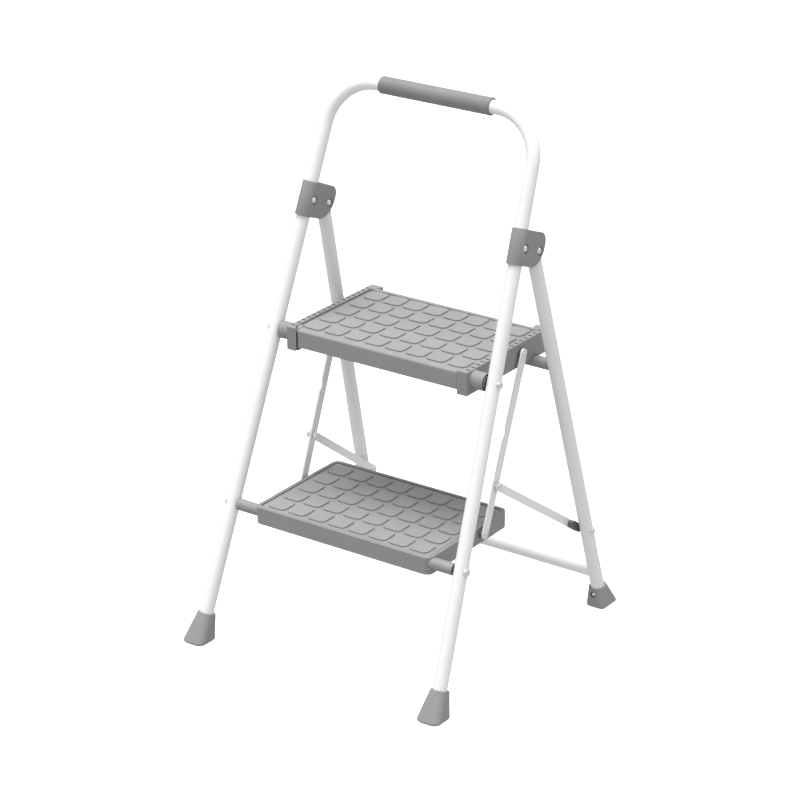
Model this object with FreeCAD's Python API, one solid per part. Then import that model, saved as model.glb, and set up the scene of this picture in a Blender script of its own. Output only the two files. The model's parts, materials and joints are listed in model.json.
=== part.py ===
import FreeCAD
import Part

import math
import os

# A two-step folding stool with a hoop handle, standing open. Millimetres.
# X runs across the stool, +Y points to its back and +Z is up. The origin is on the floor,
# under the middle of the open stool. The right-hand pieces are drawn and the left ones mirrored.

# Front frame: one bent tube whose two straight legs lean back and draw together upwards.
FRONT_FLOOR_Y = -234.5      # where the front legs' axes meet the floor
FRONT_FLOOR_X = 225.0       # half the distance between them there
LEAN = math.radians(21.05)  # of the front legs, from upright
SPLAY = 0.042               # how far a leg draws in for each mm along it
LEG_RADIUS = 11.0
TUBE_WALL = 1.2
HOOP_TOP = 912.0            # the hoop's top bar, measured up the slope from the floor
HOOP_BEND = 78.0
LEG_START = 14.0            # where the tube begins, inside its foot
GRIP_RADIUS = 14.0
GRIP_HALF_LENGTH = 101.0

# Stations up the slope of the front legs.
UPPER_PIVOT = 509.0
LOWER_PIVOT = 224.0
BRACKET = 716.0

# Rear frame: two straight legs that hang on hinge pins behind the front legs.
HINGE_Y = FRONT_FLOOR_Y + 296.5
HINGE_Z = 653.6
REAR_FLOOR_Y = FRONT_FLOOR_Y + 475.0
REAR_FLOOR_X = 227.0
REAR_TOP = 12.0             # how far a rear leg reaches past its hinge pin
REAR_END = 12.0             # height of a rear leg's lower end, inside its foot
STRAP_SHARE = 0.785         # how far down the rear leg the strap is riveted
CROSS_TUBE_SHARE = 0.908    # and the lower cross tube welded
CROSS_TUBE_RADIUS = 10.5
REST_BAR_Z = 448.8          # the bar that the upper tread comes down on
REST_BAR_RADIUS = 9.5

# Folding linkage, seen from the side.
FOLD_ANGLE = math.radians(60.0)  # how far both treads tip up
LINK_REACH = (128.5, 0.4)        # from a tread's pivot to its link rivet, along Y and Z
MID_RIVET = 208.0                # from a link's top rivet down to the strap's rivet
LINK_X = 172.5                   # inner face of the links
LINK_THICKNESS = 3.0
LINK_WIDTH = 15.5
STRAP_X = 178.8                  # inner face of a strap at its link
STRAP_END_X = 196.6              # and at the rear leg
STRAP_WIDTH = 13.0
STRAP_FLAT = 25.0                # straight stretch at the link end
STRAP_END_FLAT = 40.0            # and at the leg end
SPACER_X = 207.1                 # outer face of the spacer beside the rear leg
SPACER_LENGTH = 30.0
OPEN_JOINT = 0.5                 # gap between the two halves of the strap's rear rivet

# Pivots.
PIVOT_TUBE_RADIUS = 9.5
PIVOT_TUBE_WALL = 1.5
ROD_RADIUS = 3.5
RIVET_RADIUS = 3.0
RUNNING = 0.06              # radial room of a turning fit
SEATED = 0.03               # radial room of a fixed fit

# Domed heads: radius and height.
ROD_HEAD = (7.5, 3.6)
BRACKET_HEAD = (5.2, 2.7)
TREAD_HEAD = (5.2, 2.8)
MID_HEAD = (6.6, 3.2)
STRAP_HEAD = (6.2, 2.8)
LEG_HEAD = (6.6, 3.2)
SCREW_HEAD = (4.8, 2.4)
HEAD_SKIRT = 3.4            # how far a head reaches down round a tube
HEAD_FLAT = 0.6             # radius of the flat on top of a dome
HEAD_ROOM = 0.35            # gap under a head that turns against its neighbour
WASHER_RADIUS = 6.4
BUSH_LENGTH = 13.5
BUSH_INSET = 0.5
TUBE_END_ROOM = 1.1         # gap between a pivot tube and the front leg

# Treads.
UPPER_TOP = 488.8
UPPER_BOTTOM = 459.2
UPPER_FRONT = FRONT_FLOOR_Y + 165.4
UPPER_BACK = FRONT_FLOOR_Y + 381.5
UPPER_HALF = 168.3
CAP_WIDTH = 20.0
CAP_FRONT = UPPER_FRONT - 2.2
CAP_BACK = UPPER_BACK + 10.6
CAP_TOP = 491.2
CAP_BOTTOM = 453.3
CAP_STRIP = 157.5           # inner edge of the raised strip along a cap's top
CAP_TAIL = 145.5            # how far in a cap's rear corner reaches, behind the panel
CAP_TAIL_WIDTH = 9.0
CAP_FLARES = (10.0, 20.5)   # how long the strip's wider ends are, front and back
CAP_SLOT_PITCH = 13.2
CAP_SLOT_WIDTH = 3.2
CAP_SLOT_DEPTH = 1.8
CAP_SLOT_EDGE = 1.6         # left between a slot and the edges of the strip
BOSS_RADIUS = 14.0
BOSS_END = 190.8
BOSS_RECESS = 6.0
BOSS_LIP = 2.0
CAP_WELL_ROOF = 5.0         # plastic left above the hollows under a cap
WELL_FROM_PIVOT = 18.0      # how far those hollows stay from the pivot tube,
WELL_FROM_RIVET = 12.0      # the link rivet
WELL_FROM_BAR = 14.0        # and the rest bar
NOTCH_ROOM = 1.2            # round the rest bar, in an end cap
LOWER_TOP = 220.4
LOWER_BOTTOM = 191.4
LOWER_FRONT = FRONT_FLOOR_Y + 69.0
LOWER_BACK = FRONT_FLOOR_Y + 287.0
LOWER_HALF = 166.0
LOWER_CORNER = 12.0
SKIN = 3.5                  # plate thickness of the moulded treads
RIB = 2.4                   # and of the ribs under them
COLUMNS = 7                 # of hollows between the ribs
ROWS = 5
LINK_BOSS_RADIUS = 8.0      # inside the lower tread, round its link rivets
LINK_BOSS_LENGTH = 15.0
TREAD_RIVET_DEPTH = 14.0    # how far a link rivet reaches into its tread

# Hinge brackets, in the leg's own directions.
BRACKET_HALF_WIDTH = 14.0
BRACKET_PLATE = 2.5
BRACKET_UP = 28.0
BRACKET_DOWN = 27.0
BRACKET_REAR = 54.5
BRACKET_CORNER = 15.5       # radius of the upper rear corner
ROOM_CORNER = 8.5           # how much the slot inside is cut short there
BRACKET_CHIN = 26.0         # how far back the lower edge runs level
BRACKET_TURN = 4.0          # where the rear edge starts to curve in below
BRACKET_BELLY = 7.0         # how far that curve stands out from straight
HINGE_SWING = 17.0          # room round the hinge pin for the rear leg's top
RECESS_RADIUS = 7.2
RECESS_DEPTH = 1.4
BEYOND = 60.0               # clear past a bracket's ends, for cutting through it

# Feet.
FRONT_FOOT_HEIGHT = 40.0
REAR_FOOT_HEIGHT = 32.0
FOOT_WALL = 3.0
SOLE_EDGE = 1.5
SOLE_BAND = 3.5
FRONT_SOLE = ((-21.5, 20.1), (-26.0, 18.0))  # its edges from the leg's axis at the floor
REAR_SOLE = ((-13.5, 20.5), (-26.5, 20.0))
FRONT_SOLE_CORNER = 13.0
REAR_SOLE_CORNER = 8.0
SCREW_RADIUS = 2.0
SCREW_Z = 20.5
SCREW_START = 6.0
SCREW_SEAT = 15.3


def vec(x, y, z):
    return FreeCAD.Vector(x, y, z)


def slope(x, along, behind=0.0):
    """A point given by its place up the front frame and its distance behind that plane."""
    y = FRONT_FLOOR_Y + along * math.sin(LEAN) + behind * math.cos(LEAN)
    z = along * math.cos(LEAN) - behind * math.sin(LEAN)
    return vec(x, y, z)


def front_leg(along):
    """A point on the right front leg's axis."""
    return slope(FRONT_FLOOR_X - SPLAY * along, along)


HINGE = vec(FRONT_FLOOR_X - SPLAY * BRACKET, HINGE_Y, HINGE_Z)
REAR_FLOOR = vec(REAR_FLOOR_X, REAR_FLOOR_Y, 0.0)


def rear_leg(share):
    """A point on the right rear leg's axis: 0 is the hinge pin and 1 is the floor."""
    return HINGE + (REAR_FLOOR - HINGE) * share


def turned(y, z, angle):
    """A Y and Z pair turned about +X."""
    c = math.cos(angle)
    s = math.sin(angle)
    return y * c - z * s, y * s + z * c


def rod(start, end, radius):
    return Part.makeCylinder(radius, (end - start).Length, start, end - start)


def tube(start, end, radius, wall):
    return rod(start, end, radius).cut(rod(start, end, radius - wall))


def cross_rod(x_start, x_end, at, radius):
    """A rod along X through the point at."""
    return rod(vec(x_start, at.y, at.z), vec(x_end, at.y, at.z), radius)


def ring(x_start, x_end, at, outer, inner):
    return cross_rod(x_start, x_end, at, outer).cut(cross_rod(x_start, x_end, at, inner))


def head(x, way, at, size, skirt=0.0):
    """A domed rivet head along X. Its base is at x, and way is 1 or -1."""
    radius, height = size
    ball = (radius * radius + height * height) / (2 * height)

    def rim(distance):
        """The dome's point at a distance from the rivet's axis."""
        rise = height - ball + math.sqrt(ball * ball - distance * distance)
        return vec(x + way * rise, at.y + distance, at.z)

    bottom = x - way * skirt
    profile = [
        Part.LineSegment(vec(bottom, at.y, at.z), vec(bottom, at.y + radius, at.z)).toShape(),
        Part.Arc(rim(radius), rim(radius / 2), rim(HEAD_FLAT)).toShape(),
        Part.LineSegment(rim(HEAD_FLAT), vec(rim(HEAD_FLAT).x, at.y, at.z)).toShape(),
        Part.LineSegment(vec(rim(HEAD_FLAT).x, at.y, at.z), vec(bottom, at.y, at.z)).toShape(),
    ]
    if skirt:
        profile.insert(1, Part.LineSegment(vec(bottom, at.y + radius, at.z), rim(radius)).toShape())
    return Part.Face(Part.Wire(profile)).revolve(vec(0, at.y, at.z), vec(1, 0, 0), 360)


def mirrored(shape):
    return shape.mirror(vec(0, 0, 0), vec(1, 0, 0))


def both(shape):
    return Part.makeCompound([shape, mirrored(shape)])


def block(x_range, y_range, z_range):
    low = vec(x_range[0], y_range[0], z_range[0])
    return Part.makeBox(x_range[1] - low.x, y_range[1] - low.y, z_range[1] - low.z, low)


def bent_path(points, radius):
    """Straight runs through the points, joined by tangent arcs."""
    edges = []
    start = points[0]
    for before, corner, after in zip(points, points[1:], points[2:]):
        arriving = (corner - before).normalize()
        leaving = (after - corner).normalize()
        turn = arriving.getAngle(leaving)
        trim = radius * math.tan(turn / 2)
        arc_start = corner - arriving * trim
        arc_end = corner + leaving * trim
        inward = (leaving - arriving).normalize()
        middle = corner + inward * (radius / math.cos(turn / 2) - radius)
        edges.append(Part.LineSegment(start, arc_start).toShape())
        edges.append(Part.Arc(arc_start, middle, arc_end).toShape())
        start = arc_end
    edges.append(Part.LineSegment(start, points[-1]).toShape())
    return Part.Wire(edges)


def swept(path, start, way, radius):
    section = Part.Wire(Part.makeCircle(radius, start, way))
    return path.makePipeShell([section], True, False)


def rounded_rectangle(x_range, y_range, z, radius):
    """A closed wire with four straight sides and four round corners."""
    x0, x1 = x_range
    y0, y1 = y_range
    corners = ((x1, y0, -90), (x1, y1, 0), (x0, y1, 90), (x0, y0, 180))
    edges = []
    arcs = []
    for x, y, first in corners:
        centre = vec(x - radius if x == x1 else x + radius, y + radius if y == y0 else y - radius, z)
        rays = [math.radians(first + part) for part in (0, 45, 90)]
        arcs.append([centre + vec(math.cos(a), math.sin(a), 0) * radius for a in rays])
    for index, arc in enumerate(arcs):
        edges.append(Part.Arc(*arc).toShape())
        edges.append(Part.LineSegment(arc[2], arcs[(index + 1) % 4][0]).toShape())
    return Part.Wire(edges)


def slab(x_range, y_range, z_range, radius):
    base = Part.Face(rounded_rectangle(x_range, y_range, z_range[0], radius))
    return base.extrude(vec(0, 0, z_range[1] - z_range[0]))


def flat_bar(first, last, x_start, x_end, width):
    """A flat bar with round ends, on edge, with its rivet holes' centres at first and last."""
    run = last - first
    run.x = 0
    along = vec(0, run.y, run.z).normalize()
    side = vec(0, -along.z, along.y) * (width / 2)
    a = vec(x_start, first.y, first.z)
    b = vec(x_start, last.y, last.z)
    edges = [
        Part.LineSegment(a + side, b + side).toShape(),
        Part.Arc(b + side, b + along * (width / 2), b - side).toShape(),
        Part.LineSegment(b - side, a - side).toShape(),
        Part.Arc(a - side, a - along * (width / 2), a + side).toShape(),
    ]
    return Part.Face(Part.Wire(edges)).extrude(vec(x_end - x_start, 0, 0))


UPPER = front_leg(UPPER_PIVOT)
LOWER = front_leg(LOWER_PIVOT)
CLAMP = front_leg(BRACKET)
LINK_TOP = vec(0, UPPER.y + LINK_REACH[0], UPPER.z + LINK_REACH[1])
LINK_BOTTOM = vec(0, LOWER.y + LINK_REACH[0], LOWER.z + LINK_REACH[1])
LINK_MID = LINK_TOP + (LINK_BOTTOM - LINK_TOP).normalize() * MID_RIVET
STRAP_END = rear_leg(STRAP_SHARE)
STRAP_LENGTH = (vec(0, STRAP_END.y, STRAP_END.z) - LINK_MID).Length
REST_BAR = rear_leg((HINGE_Z - REST_BAR_Z) / HINGE_Z)
SCREW = rear_leg(1 - SCREW_Z / HINGE_Z)
LEG_OUT = LEG_RADIUS / math.cos(math.atan(SPLAY))  # a leg's half width measured along X


def front_leg_solid():
    return rod(front_leg(-60.0), front_leg(860.0), LEG_RADIUS)


def rear_leg_solid():
    return rod(rear_leg(-0.1), rear_leg(1.1), LEG_RADIUS)


def front_frame_tube():
    top = FRONT_FLOOR_X - SPLAY * HOOP_TOP
    right = [front_leg(LEG_START), slope(top, HOOP_TOP)]
    left = [vec(-p.x, p.y, p.z) for p in reversed(right)]
    path = bent_path(right + left, HOOP_BEND)
    way = right[1] - right[0]
    outer = swept(path, right[0], way, LEG_RADIUS)
    inner = swept(path, right[0], way, LEG_RADIUS - TUBE_WALL)
    frame = outer.cut(inner)
    holes = [(UPPER, ROD_RADIUS), (LOWER, ROD_RADIUS), (CLAMP, RIVET_RADIUS)]
    for at, radius in holes:
        frame = frame.cut(cross_rod(-FRONT_FLOOR_X - 20, FRONT_FLOOR_X + 20, at, radius + SEATED))
    return frame


def hand_grip():
    at = slope(0, HOOP_TOP)
    sleeve = cross_rod(-GRIP_HALF_LENGTH, GRIP_HALF_LENGTH, at, GRIP_RADIUS)
    rims = [e for e in sleeve.Edges if isinstance(e.Curve, Part.Circle)]
    sleeve = sleeve.makeFillet(2.0, rims)
    return sleeve.cut(cross_rod(-GRIP_HALF_LENGTH - 1, GRIP_HALF_LENGTH + 1, at, LEG_RADIUS + SEATED))


def pivot_rod(at):
    """A rod through both front legs, riveted over outside them, that a tread turns on."""
    face = at.x + LEG_OUT
    into_head = ROD_HEAD[1] / 2
    shank = cross_rod(-face - into_head, face + into_head, at, ROD_RADIUS)
    cap = head(face, 1, at, ROD_HEAD, HEAD_SKIRT).cut(front_leg_solid())
    return shank.fuse([cap, mirrored(cap)])


def leg_placement(at):
    """Turns a piece drawn upright at the origin to stand on the right front leg at a point."""
    up = (front_leg(100.0) - front_leg(0.0)).normalize()
    across = (vec(1, 0, 0) - up * up.x).normalize()
    back = up.cross(across)
    matrix = FreeCAD.Matrix(
        across.x, back.x, up.x, at.x,
        across.y, back.y, up.y, at.y,
        across.z, back.z, up.z, at.z,
        0, 0, 0, 1)
    return FreeCAD.Placement(matrix)


def bracket_outline():
    """The bracket's side, drawn at x 0 with Y behind the leg and Z up it."""
    front = -BRACKET_HALF_WIDTH
    back = BRACKET_REAR
    up = BRACKET_UP
    corner = BRACKET_CORNER
    middle = corner * (1 - math.sqrt(0.5))
    low_front = vec(0, front, -BRACKET_DOWN)
    top_front = vec(0, front, up)
    top_back = vec(0, back - corner, up)
    back_top = vec(0, back, up - corner)
    back_low = vec(0, back, BRACKET_TURN)
    low_back = vec(0, BRACKET_CHIN, -BRACKET_DOWN)
    halfway = (back_low + low_back) * 0.5
    fall = (low_back - back_low).normalize()
    belly = halfway + vec(0, -fall.z, fall.y) * BRACKET_BELLY
    edges = [
        Part.LineSegment(low_front, top_front).toShape(),
        Part.LineSegment(top_front, top_back).toShape(),
        Part.Arc(top_back, vec(0, back - middle, up - middle), back_top).toShape(),
        Part.LineSegment(back_top, back_low).toShape(),
        Part.Arc(back_low, belly, low_back).toShape(),
        Part.LineSegment(low_back, low_front).toShape(),
    ]
    return Part.Face(Part.Wire(edges))


def bracket_room():
    """The slot inside a bracket that the top of the rear leg swings in."""
    start = LEG_RADIUS + BRACKET_PLATE
    roof = BRACKET_UP - BRACKET_PLATE
    back = BRACKET_REAR - BRACKET_PLATE
    points = [
        (start, -BEYOND), (start, roof), (back - ROOM_CORNER, roof), (back, roof - ROOM_CORNER),
        (back, HINGE_SWING), (BEYOND, HINGE_SWING), (BEYOND, -BEYOND), (start, -BEYOND)]
    half = BRACKET_HALF_WIDTH - BRACKET_PLATE
    wire = Part.makePolygon([vec(-half, y, z) for y, z in points])
    return Part.Face(wire).extrude(vec(2 * half, 0, 0))


def hinge_bracket():
    half = BRACKET_HALF_WIDTH
    side = bracket_outline()
    side.translate(vec(-half, 0, 0))
    body = side.extrude(vec(2 * half, 0, 0))
    low_end = vec(0, 0, -BEYOND)
    nose = Part.makeCylinder(half, 2 * BEYOND, low_end)
    rest = block((-half, half), (0.0, BEYOND), (-BEYOND, BEYOND))
    body = body.common(nose.fuse(rest))
    body = body.cut(bracket_room())
    body = body.cut(Part.makeCylinder(LEG_RADIUS + SEATED, 2 * BEYOND, low_end))
    body.Placement = leg_placement(CLAMP)
    floor = half - RECESS_DEPTH
    for at in (CLAMP, HINGE):
        body = body.cut(cross_rod(at.x + floor, at.x + half + 10, at, RECESS_RADIUS))
        body = body.cut(cross_rod(at.x - half - 10, at.x - floor, at, RECESS_RADIUS))
        body = body.cut(cross_rod(at.x - BEYOND, at.x + BEYOND, at, RIVET_RADIUS + SEATED))
    return body


def bracket_rivet(at):
    """A rivet through a bracket, with a domed head in each recess."""
    reach = BRACKET_HALF_WIDTH - RECESS_DEPTH + HEAD_ROOM / 2
    shank = cross_rod(at.x - reach - 1, at.x + reach + 1, at, RIVET_RADIUS)
    outer = head(at.x + reach, 1, at, BRACKET_HEAD)
    inner = head(at.x - reach, -1, at, BRACKET_HEAD)
    return shank.fuse([outer, inner])


def boot(floor, sole, corner, low, high):
    """A moulded foot: a round-cornered sole that draws in to a collar square to the leg."""
    sole_x = (floor.x + sole[0][0], floor.x + sole[0][1])
    sole_y = (floor.y + sole[1][0], floor.y + sole[1][1])
    radius = LEG_RADIUS + FOOT_WALL
    deep = radius + 0.7
    collar = rounded_rectangle((-radius, radius), (-deep, deep), 0.0, radius - 0.5)
    collar.Placement = FreeCAD.Placement(high, FreeCAD.Rotation(vec(0, 0, 1), high - low))
    inset_x = (sole_x[0] + SOLE_EDGE, sole_x[1] - SOLE_EDGE)
    inset_y = (sole_y[0] + SOLE_EDGE, sole_y[1] - SOLE_EDGE)
    sections = [
        rounded_rectangle(inset_x, inset_y, 0.0, corner - SOLE_EDGE),
        rounded_rectangle(sole_x, sole_y, SOLE_EDGE, corner),
        rounded_rectangle(sole_x, sole_y, SOLE_BAND, corner),
        collar,
    ]
    foot = Part.makeLoft(sections, True, True)
    return foot.cut(rod(low, high + (high - low), LEG_RADIUS + SEATED))


def front_foot():
    low = front_leg(LEG_START - 1.0)
    high = front_leg(FRONT_FOOT_HEIGHT / math.cos(LEAN))
    return boot(front_leg(0.0), FRONT_SOLE, FRONT_SOLE_CORNER, low, high)


def screw_way(start, end, radius):
    """A rod forwards from the rear leg's axis, along the foot's screw."""
    return rod(SCREW - vec(0, start, 0), SCREW - vec(0, end, 0), radius)


def rear_foot():
    low = rear_leg(1 - (REAR_END - 1.0) / HINGE_Z)
    high = rear_leg(1 - REAR_FOOT_HEIGHT / HINGE_Z)
    foot = boot(REAR_FLOOR, REAR_SOLE, REAR_SOLE_CORNER, low, high)
    foot = foot.cut(screw_way(SCREW_SEAT, BEYOND, SCREW_HEAD[0] + SEATED))
    return foot.cut(screw_way(0, SCREW_SEAT, SCREW_RADIUS + SEATED))


def rear_foot_screw():
    """A screw through the front of a rear foot into the leg."""
    top = head(SCREW.x + SCREW_SEAT, 1, SCREW, SCREW_HEAD)
    top.rotate(SCREW, vec(0, 0, 1), -90)
    return screw_way(SCREW_START, SCREW_SEAT + 1, SCREW_RADIUS).fuse(top)


def rear_leg_tube():
    length = (REAR_FLOOR - HINGE).Length
    low = rear_leg(1 - REAR_END / HINGE_Z)
    leg = tube(rear_leg(-REAR_TOP / length), low, LEG_RADIUS, TUBE_WALL)
    leg = leg.cut(cross_rod(HINGE.x - BEYOND, HINGE.x + BEYOND, HINGE, RIVET_RADIUS + RUNNING))
    rivet_hole = cross_rod(STRAP_END.x - BEYOND, STRAP_END.x + BEYOND, STRAP_END, RIVET_RADIUS + SEATED)
    screw_hole = screw_way(0, BEYOND, SCREW_RADIUS + SEATED)
    return leg.cut([rivet_hole, screw_hole])


def welded_tube(at, radius):
    """A tube between the rear legs, its ends shaped to them."""
    leg = rear_leg_solid()
    bar = cross_rod(-at.x, at.x, at, radius).cut(cross_rod(-at.x, at.x, at, radius - TUBE_WALL))
    return bar.cut([leg, mirrored(leg)])


def strap_leg_rivet():
    """The half of the strap's rear rivet that stays in the rear leg."""
    face = STRAP_END.x + LEG_OUT
    cap = head(face, 1, STRAP_END, LEG_HEAD, HEAD_SKIRT).cut(rear_leg_solid())
    shank = cross_rod(SPACER_X + OPEN_JOINT, face + LEG_HEAD[1] / 2, STRAP_END, RIVET_RADIUS)
    return shank.fuse(cap)


def under_pockets(x_range, y_range, z_range):
    """The hollows between the ribs under a moulded tread."""
    wide = (x_range[1] - x_range[0] + RIB) / COLUMNS
    deep = (y_range[1] - y_range[0] + RIB) / ROWS
    pockets = []
    for column in range(COLUMNS):
        for row in range(ROWS):
            x = x_range[0] + column * wide
            y = y_range[0] + row * deep
            pockets.append(block((x, x + wide - RIB), (y, y + deep - RIB), z_range))
    return pockets


def upper_tread_panel():
    half = UPPER_HALF - CAP_WIDTH
    panel = slab((-half, half), (UPPER_FRONT, UPPER_BACK), (UPPER_BOTTOM, UPPER_TOP), 1.5)
    inside_x = (-half + SKIN, half - SKIN)
    inside_y = (UPPER_FRONT + SKIN, UPPER_BACK - SKIN)
    panel = panel.cut(under_pockets(inside_x, inside_y, (UPPER_BOTTOM - 1, UPPER_TOP - SKIN)))
    return panel.cut(cross_rod(-half - 1, half + 1, UPPER, PIVOT_TUBE_RADIUS + SEATED))


def cap_side():
    """An end cap's block, with a notch that drops over the rest bar."""
    notch = REST_BAR_RADIUS + NOTCH_ROOM
    inner = UPPER_HALF - CAP_WIDTH
    slot = cross_rod(inner - 1, UPPER_HALF + 1, REST_BAR, notch)
    across = (inner - 1, UPPER_HALF + 1)
    way_out = block(across, (REST_BAR.y - notch, REST_BAR.y + notch), (CAP_BOTTOM - 9, REST_BAR.z))
    side = block((inner, UPPER_HALF), (CAP_FRONT, CAP_BACK), (CAP_BOTTOM, UPPER_TOP))
    tail = block((CAP_TAIL, inner), (UPPER_BACK, CAP_BACK), (UPPER_BOTTOM, UPPER_TOP))
    return side.fuse(tail).cut(slot.fuse(way_out))


def cap_strip():
    """The raised strip along an end cap's top, wider at both ends, with slots across it."""
    plan = [
        (UPPER_HALF, CAP_FRONT), (UPPER_HALF, CAP_BACK), (CAP_TAIL, CAP_BACK),
        (CAP_TAIL, CAP_BACK - CAP_TAIL_WIDTH), (CAP_STRIP, CAP_BACK - CAP_FLARES[1]),
        (CAP_STRIP, CAP_FRONT + CAP_FLARES[0]), (UPPER_HALF - CAP_WIDTH, CAP_FRONT),
        (UPPER_HALF, CAP_FRONT)]
    wire = Part.makePolygon([vec(x, y, UPPER_TOP) for x, y in plan])
    strip = Part.Face(wire).extrude(vec(0, 0, CAP_TOP - UPPER_TOP))
    first = CAP_FRONT + CAP_FLARES[0]
    slots = int((CAP_BACK - CAP_FLARES[0] - first) / CAP_SLOT_PITCH) + 1
    x_range = (CAP_STRIP + CAP_SLOT_EDGE, UPPER_HALF - CAP_SLOT_EDGE)
    z_range = (CAP_TOP - CAP_SLOT_DEPTH, CAP_TOP + 1)
    starts = [first + index * CAP_SLOT_PITCH for index in range(slots)]
    return strip.cut([block(x_range, (y, y + CAP_SLOT_WIDTH), z_range) for y in starts])


def upper_end_cap():
    x = UPPER_HALF - CAP_WIDTH
    well_x = (x + SKIN, UPPER_HALF - SKIN)
    well_z = (CAP_BOTTOM - 1, CAP_TOP - CAP_WELL_ROOF)
    wells = [
        block(well_x, (UPPER.y + WELL_FROM_PIVOT, LINK_TOP.y - WELL_FROM_RIVET), well_z),
        block(well_x, (LINK_TOP.y + WELL_FROM_RIVET, REST_BAR.y - WELL_FROM_BAR), well_z),
        block(well_x, (REST_BAR.y + WELL_FROM_BAR, CAP_BACK - SKIN), well_z),
    ]
    boss = cross_rod(x + 1.0, BOSS_END, UPPER, BOSS_RADIUS)
    cap = cap_side().cut(wells).fuse([cap_strip(), boss]).removeSplitter()
    cap = cap.cut(cross_rod(BOSS_END - BOSS_RECESS, BOSS_END + 1, UPPER, BOSS_RADIUS - BOSS_LIP))
    cap = cap.cut(cross_rod(x - 1, BOSS_END + 1, UPPER, PIVOT_TUBE_RADIUS + SEATED))
    return cap.cut(cross_rod(x - 1, UPPER_HALF + 1, LINK_TOP, RIVET_RADIUS + SEATED))


def pivot_tube(at, half):
    middle = cross_rod(-half, half, at, PIVOT_TUBE_RADIUS)
    return middle.cut(cross_rod(-half, half, at, PIVOT_TUBE_RADIUS - PIVOT_TUBE_WALL))


def tube_plug(at, half):
    """The bush in the end of a pivot tube that turns on the rod."""
    outer = PIVOT_TUBE_RADIUS - PIVOT_TUBE_WALL - SEATED
    end = half - BUSH_INSET
    return ring(end - BUSH_LENGTH, end, at, outer, ROD_RADIUS + RUNNING)


def tread_link_rivet(at, inner_x):
    """A rivet fixed in a tread's side that a link turns on."""
    seat = LINK_X + LINK_THICKNESS + HEAD_ROOM
    return cross_rod(inner_x, seat + 1, at, RIVET_RADIUS).fuse(head(seat, 1, at, TREAD_HEAD))


def lower_tread_panel():
    x_range = (-LOWER_HALF, LOWER_HALF)
    y_range = (LOWER_FRONT, LOWER_BACK)
    panel = slab(x_range, y_range, (LOWER_BOTTOM, LOWER_TOP), LOWER_CORNER)
    top_edges = [e for e in panel.Edges if abs(e.BoundBox.ZMin - LOWER_TOP) < 0.01]
    panel = panel.makeFillet(2.0, top_edges)
    inside_x = (-LOWER_HALF + SKIN, LOWER_HALF - SKIN)
    inside_y = (LOWER_FRONT + SKIN, LOWER_BACK - SKIN)
    inside_z = (LOWER_BOTTOM - 1, LOWER_TOP - SKIN)
    inside = slab(inside_x, inside_y, inside_z, LOWER_CORNER - SKIN)
    panel = panel.cut(Part.makeCompound(under_pockets(inside_x, inside_y, inside_z)).common(inside))
    boss = cross_rod(LOWER_HALF - 1 - LINK_BOSS_LENGTH, LOWER_HALF - 1, LINK_BOTTOM, LINK_BOSS_RADIUS)
    panel = panel.fuse([boss, mirrored(boss)])
    panel = panel.cut(cross_rod(-LOWER_HALF - 1, LOWER_HALF + 1, LOWER, PIVOT_TUBE_RADIUS + SEATED))
    hole_start = LOWER_HALF - LINK_BOSS_LENGTH - 5
    hole = cross_rod(hole_start, LOWER_HALF + 1, LINK_BOTTOM, RIVET_RADIUS + SEATED)
    return panel.cut([hole, mirrored(hole)])


def link_bar():
    """A flat link between the treads. Its front notch clears the upper boss when folded."""
    x_range = (LINK_X - 1, LINK_X + LINK_THICKNESS + 1)
    bar = flat_bar(LINK_TOP, LINK_BOTTOM, LINK_X, LINK_X + LINK_THICKNESS, LINK_WIDTH)
    for at in (LINK_TOP, LINK_BOTTOM):
        bar = bar.cut(cross_rod(x_range[0], x_range[1], at, RIVET_RADIUS + RUNNING))
    bar = bar.cut(cross_rod(x_range[0], x_range[1], LINK_MID, RIVET_RADIUS + SEATED))
    y, z = turned(LINK_REACH[0], LINK_REACH[1], FOLD_ANGLE)
    folded_boss = LINK_TOP - vec(0, y, z)
    return bar.cut(cross_rod(x_range[0], x_range[1], folded_boss, BOSS_RADIUS + 0.8))


def link_mid_rivet():
    """The rivet fixed in a link that its strap turns on."""
    face = STRAP_X + LINK_THICKNESS + HEAD_ROOM
    inner = LINK_X - 1.8
    shank = cross_rod(inner, face + 1, LINK_MID, RIVET_RADIUS)
    flat = cross_rod(inner, LINK_X, LINK_MID, 5.5)
    return shank.fuse([flat, head(face, 1, LINK_MID, MID_HEAD)])


def strap_point(along, x, side=0.0):
    """A point on a strap: along it from the link rivet, at x, and to one side."""
    way = (vec(0, STRAP_END.y, STRAP_END.z) - LINK_MID).normalize()
    square = vec(0, -way.z, way.y)
    point = LINK_MID + way * along + square * side
    point.x = x
    return point


def strap_bar():
    """A flat strap with a double bend that brings its end out to the rear leg."""
    half = STRAP_WIDTH / 2
    inner = [(-half - 1, STRAP_X), (STRAP_FLAT, STRAP_X),
             (STRAP_LENGTH - STRAP_END_FLAT, STRAP_END_X), (STRAP_LENGTH + half + 1, STRAP_END_X)]
    outer = [(along, x + LINK_THICKNESS) for along, x in reversed(inner)]
    points = [strap_point(along, x, -half) for along, x in inner + outer]
    bent = Part.Face(Part.makePolygon(points + points[:1]))
    bent = bent.extrude(strap_point(0, 0, half) - strap_point(0, 0, -half))
    outline = flat_bar(LINK_MID, STRAP_END, STRAP_X - 5, STRAP_END_X + 10, STRAP_WIDTH)
    bar = bent.common(outline)
    bar = bar.cut(cross_rod(STRAP_X - 5, STRAP_X + 8, LINK_MID, RIVET_RADIUS + RUNNING))
    return bar.cut(cross_rod(STRAP_END_X - 5, STRAP_END_X + 8, STRAP_END, RIVET_RADIUS + SEATED))


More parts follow.
